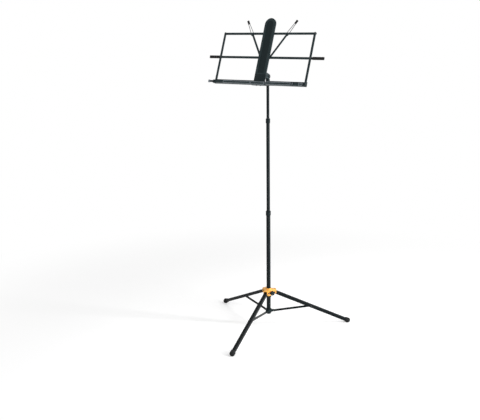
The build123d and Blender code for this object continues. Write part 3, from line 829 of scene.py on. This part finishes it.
def deskDirection(direction):
    return deskMatrix.to_3x3() @ Vector(direction)


def halfAcross(node, hinge):
    across = Vector(hinge["axis"]).normalized()
    middle = Vector(hinge["pos_m"]).dot(across)
    return max(vertex.co.dot(across) - middle for vertex in frame["nodes"][node].data.vertices)


rivetHead = makeHead("rivetMaster", False)
screwHead = makeHead("screwMaster", True)
forwards = deskDirection((0, -1, 0))
backwards = deskDirection((0, 1, 0))
downwards = deskDirection((0, 0, -1))

rivetFront, rivetBack = spanIn(deskMatrix, "side_rivets_right")
for side, out in sides.items():
    spots = []
    for height in barHeights.values():
        spots.append((fromDesk(out * halfDesk, rivetFront.y, height), forwards))
        spots.append((fromDesk(out * halfDesk, rivetBack.y, height), backwards))
    addHeads(f"sideRivetHeads_{side}", rivetHead, rivetSet, spots, bodyOf(f"side_rivets_{side}"))

armRivetBack = spanIn(deskMatrix, "spine_rivets")[1].y
barSpots = []
armSpots = []
for out in sides.values():
    for bar in ("wing", "top"):
        barSpots.append((fromDesk(out * wingPivot, rivetBack.y, barHeights[bar]), backwards))
    armSpots.append((fromDesk(out * wingPivot, armRivetBack, barHeights["middle"]), backwards))
addHeads("spineRivetHeads", rivetHead, spineRivetSet, barSpots, bodyOf("spine_rivets"))
addHeads("armRivetHeads", rivetHead, rivetSet, armSpots, bodyOf("spine_rivets"))

spots = []
for leg in legNames:
    spots += bothEnds(joints[f"leg_{leg}_fold"], pinSet["reach"])
    brace = joints[f"brace_{leg}_fold"]
    reach = halfAcross(f"leg_rivet_{leg}", brace)
    addHeads(f"legRivetHeads_{leg}", rivetHead, legRivetSet, bothEnds(brace, reach), f"leg_{leg}")
addHeads("hubPinHeads", rivetHead, pinSet, spots, bodyOf("hub_pins"))

screwLow, screwHigh = spanIn(deskMatrix, "desk_screws")
spineLow, spineHigh = spanIn(deskMatrix, "spine")
spread = screwHigh.x - screwSet["radius"]
spots = []
for x in (-spread, spread):
    for row in (-screwSet["rows"] / 2, screwSet["rows"] / 2):
        spots.append((fromDesk(x, screwHigh.y, deskSet["aboveShelf"] + row), backwards))
    spots.append((fromDesk(x, (spineLow.y + spineHigh.y) / 2, screwLow.z), downwards))
addHeads("deskScrewHeads", screwHead, screwSet, spots, bodyOf("desk_screws"))
bpy.data.objects.remove(rivetHead)
bpy.data.objects.remove(screwHead)
print("rivet and screw heads done")


# pale rolled lips along the front of the shelf, with a beaded upper edge; their pale grey is
# painted reflection of the white surroundings on the dark sheet
lipSet = {
    "height": 0.0133,
    "thickness": 0.0021,
    "cover": 0.0003,          # in front of the sheet that it wraps
    "bead": 0.0010,
    "beadSteps": 5,
    "edge": 0.0004,
    "edgeSteps": 2,
    "panelRim": 0.0022,
    "panelLeast": 1e-4,       # square metres, smaller faces have no panel
    "panelDepth": 0.0006,     # past the sheet's face, which shows in the panel
    "troughInset": 0.0015,
    "runs": {"right": ((0.041, 0.180), (0.222, 0.243)), "left": ((0.041, 0.198),)},
}


def makeLip(name, start, end, front, low):
    size = (end - start, lipSet["thickness"], lipSet["height"])
    lip = addBlock(name, size, (0, 0, 0))
    pick(lip, "EDGE", lambda e: edgeAlong(e, 0) and edgeMiddle(e).z > 0)
    bevelPicked(lipSet["bead"], lipSet["beadSteps"])
    pick(lip, "EDGE", lambda e: edgeAt(e, 0, size[0] / 2) or edgeAt(e, 0, -size[0] / 2))
    bevelPicked(lipSet["edge"], lipSet["edgeSteps"])
    pick(lip, "FACE", lambda f: f.normal.y < -aligned and f.calc_area() > lipSet["panelLeast"])
    bpy.ops.mesh.inset(thickness=lipSet["panelRim"])
    bpy.ops.mesh.inset(thickness=lipSet["panelDepth"], depth=-lipSet["panelDepth"])
    stopEditing()
    smooth(lip)
    middle = (start + end) / 2, front - lipSet["cover"] + size[1] / 2, low + size[2] / 2
    return lip, Vector(middle)


shelfLow = spanIn(deskMatrix, "shelf_bar_right")[0]
for side, runs in lipSet["runs"].items():
    for number, (start, end) in enumerate(runs):
        lip, middle = makeLip(f"shelfLip_{side}_{number}", start, end, shelfLow.y, shelfLow.z)
        place(lip, deskMatrix @ onSide(sides[side], middle))
        # the lips' pale grey is painted reflection
        fit(lip, bodyOf(f"shelf_bar_{side}"), "shelf_paint")
troughLow, troughHigh = spanIn(deskMatrix, "shelf_trough")
start = troughLow.x + lipSet["troughInset"]
end = troughHigh.x - lipSet["troughInset"]
lip, middle = makeLip("shelfLip_middle", start, end, troughLow.y, troughLow.z)
place(lip, deskMatrix @ Matrix.Translation(middle))
fit(lip, bodyOf("shelf_trough"), "shelf_paint")


# pale rib on the page clip
clipSet = {"width": 0.0032, "height": 0.0125, "depth": 0.0014, "edge": 0.0005}


def makeClipRib():
    low, high = spanIn(deskMatrix, "shelf_clip")
    size = (clipSet["width"], clipSet["depth"], clipSet["height"])
    rib = addBlock("shelfClipRib", size, (0, 0, 0))
    pick(rib, "EDGE", lambda e: edgeMiddle(e).y < 0)
    bevelPicked(clipSet["edge"])
    stopEditing()
    smooth(rib)
    middle = (low + high) / 2
    place(rib, deskMatrix @ Matrix.Translation((middle.x, low.y, middle.z)))
    fit(rib, bodyOf("shelf_clip"), "shelf_paint")


# short stub with a pale cap at the left end of the shelf
stubSet = {
    "start": 0.250, "end": 0.276, "height": 0.0095, "thickness": 0.0042, "edge": 0.0012,
    "capLength": 0.011, "capHeight": 0.0132, "capDepth": 0.0064, "capEdge": 0.0016, "capSteps": 4,
    "capFlare": 0.9,          # share of its height and depth that the cap has where it starts
}


def makeStub():
    run = stubSet["end"] - stubSet["start"]
    bar = addBlock("stubBar", (run, stubSet["thickness"], stubSet["height"]), (0, 0, 0))
    pick(bar, "EDGE", lambda e: edgeAlong(e, 0))
    bevelPicked(stubSet["edge"])
    stopEditing()
    size = (stubSet["capLength"], stubSet["capDepth"], stubSet["capHeight"])
    cap = addBlock("stubCap", size, (run / 2 + size[0] / 2 - stubSet["capEdge"], 0, 0))
    pick(cap, "FACE", lambda f: f.normal.x < -aligned)
    flare = stubSet["capFlare"]
    bpy.ops.transform.resize(value=(1, flare, flare), center_override=(run / 2, 0, 0))
    pick(cap, "EDGE", lambda e: True)
    bevelPicked(stubSet["capEdge"], stubSet["capSteps"])
    stopEditing()
    smooth(bar)
    smooth(cap, roundAngle)
    out = -(stubSet["start"] + run / 2)
    y = shelfLow.y + stubSet["thickness"] / 2
    spot = Matrix.Translation((out, y, shelfLow.z + stubSet["capHeight"] / 2))
    turn = Matrix.Rotation(pi, 4, "Z")
    for piece, slot in ((bar, "black_plastic"), (cap, "shelf_paint")):
        place(piece, deskMatrix @ spot @ turn)
        fit(piece, bodyOf("shelf_bar_left"), slot)


makeClipRib()
makeStub()
print("shelf lips and clips done")


# floor, light and camera
floorSet = {
    "size": 40.0,
    "tone": (0.93, 0.93, 0.93),
    "roughness": 0.9,
    "lift": 0.26,             # added where it is seen or mirrored, so that it reads as white
    "whiteFrom": 0.7,         # distances from the object over which it turns plain white
    "whiteTo": 2.2,
}
keySet = {
    "azimuth": 109, "distance": 2.4, "height": 1.9, "aimHeight": 0.8,
    "width": 0.32, "tall": 3.2, "power": 58,
}
fillSet = {
    "azimuth": 10, "distance": 3.4, "height": 2.6, "aimHeight": 0.7,
    "width": 2.2, "tall": 2.2, "power": 34,
}
rimSet = {
    "azimuth": 84, "distance": 1.8, "height": 0.48, "aimHeight": 0.85,
    "width": 0.80, "tall": 0.88, "power": 30,
}
white = (1, 1, 1, 1)
worldSet = {"ambient": 0.42}
cameraSet = {
    "azimuth": 32.0,
    "distance": 3.655,
    "height": 1.479,
    "pitch": 13.3,
    "roll": -0.235,
    "sensorWidth": 36,
    "focal": 750.7,           # in pixels of the 480 wide image
    "imageWidth": 480,
    "centreColumn": 268.30,   # pixel column that the camera points at
}


def aroundObject(azimuth, distance, height):
    turn = radians(azimuth)
    return Vector((sin(turn) * distance, -cos(turn) * distance, height))


def largest(tree, first, second):
    node = tree.nodes.new("ShaderNodeMath")
    node.operation = "MAXIMUM"
    tree.links.new(first, node.inputs[0])
    tree.links.new(second, node.inputs[1])
    return node.outputs["Value"]


def seenRays(tree):
    rays = tree.nodes.new("ShaderNodeLightPath")
    mirrored = largest(tree, rays.outputs["Is Glossy Ray"], rays.outputs["Is Transmission Ray"])
    return largest(tree, rays.outputs["Is Camera Ray"], mirrored)


def makeFloor():
    deselectAll()
    bpy.ops.mesh.primitive_plane_add(size=floorSet["size"])
    floor = named("floor")
    material = bpy.data.materials.new("whiteFloor")
    material.use_nodes = True
    tree = material.node_tree
    shader = tree.nodes["Principled BSDF"]
    shader.inputs["Base Color"].default_value = (*floorSet["tone"], 1)
    shader.inputs["Roughness"].default_value = floorSet["roughness"]
    shader.inputs["Emission Color"].default_value = white
    lift = tree.nodes.new("ShaderNodeMath")
    lift.operation = "MULTIPLY"
    lift.inputs[1].default_value = floorSet["lift"]
    tree.links.new(seenRays(tree), lift.inputs[0])
    tree.links.new(lift.outputs["Value"], shader.inputs["Emission Strength"])

    # plain white far from the object
    glow = tree.nodes.new("ShaderNodeEmission")
    where = tree.nodes.new("ShaderNodeTexCoord")
    reach = tree.nodes.new("ShaderNodeVectorMath")
    reach.operation = "LENGTH"
    fade = tree.nodes.new("ShaderNodeMapRange")
    fade.interpolation_type = "SMOOTHSTEP"
    fade.inputs["From Min"].default_value = floorSet["whiteFrom"]
    fade.inputs["From Max"].default_value = floorSet["whiteTo"]
    mix = tree.nodes.new("ShaderNodeMixShader")
    tree.links.new(where.outputs["Object"], reach.inputs[0])
    tree.links.new(reach.outputs["Value"], fade.inputs["Value"])
    tree.links.new(fade.outputs["Result"], mix.inputs["Fac"])
    tree.links.new(shader.outputs["BSDF"], mix.inputs[1])
    tree.links.new(glow.outputs["Emission"], mix.inputs[2])
    tree.links.new(mix.outputs["Shader"], tree.nodes["Material Output"].inputs["Surface"])
    floor.data.materials.append(material)


def makeLamp(name, lamp):
    deselectAll()
    spot = aroundObject(lamp["azimuth"], lamp["distance"], lamp["height"])
    aim = Vector((0, 0, lamp["aimHeight"]))
    bpy.ops.object.light_add(type="AREA", location=spot)
    light = bpy.context.object
    light.name = name
    light.data.shape = "RECTANGLE"
    light.data.size = lamp["width"]
    light.data.size_y = lamp["tall"]
    light.data.energy = lamp["power"]
    light.visible_camera = False
    light.rotation_euler = (aim - spot).to_track_quat("-Z", "Y").to_euler()


def makeWorld():
    world = bpy.data.worlds.new("whiteStudio")
    bpy.context.scene.world = world
    world.use_nodes = True
    tree = world.node_tree
    ambient = tree.nodes["Background"]
    ambient.inputs["Color"].default_value = white
    ambient.inputs["Strength"].default_value = worldSet["ambient"]
    seen = tree.nodes.new("ShaderNodeBackground")
    seen.inputs["Color"].default_value = white

    mix = tree.nodes.new("ShaderNodeMixShader")
    tree.links.new(seenRays(tree), mix.inputs["Fac"])
    tree.links.new(ambient.outputs["Background"], mix.inputs[1])
    tree.links.new(seen.outputs["Background"], mix.inputs[2])
    tree.links.new(mix.outputs["Shader"], tree.nodes["World Output"].inputs["Surface"])


def makeCamera():
    deselectAll()
    spot = aroundObject(cameraSet["azimuth"], cameraSet["distance"], cameraSet["height"])
    bpy.ops.object.camera_add(location=spot)
    camera = bpy.context.object
    camera.name = "photoCamera"
    turn = (
        Matrix.Rotation(radians(cameraSet["azimuth"]), 3, "Z")
        @ Matrix.Rotation(radians(90 - cameraSet["pitch"]), 3, "X")
        @ Matrix.Rotation(radians(cameraSet["roll"]), 3, "Z")
    )
    camera.rotation_euler = turn.to_euler()
    camera.data.sensor_width = cameraSet["sensorWidth"]
    camera.data.lens = cameraSet["focal"] * cameraSet["sensorWidth"] / cameraSet["imageWidth"]
    camera.data.shift_x = 0.5 - cameraSet["centreColumn"] / cameraSet["imageWidth"]
    bpy.context.scene.camera = camera


makeFloor()
makeWorld()
makeLamp("keySoftbox", keySet)
makeLamp("fillSoftbox", fillSet)
makeLamp("rimStrip", rimSet)
makeCamera()
bpy.context.scene.view_settings.view_transform = "Standard"
print("floor, light and camera done")
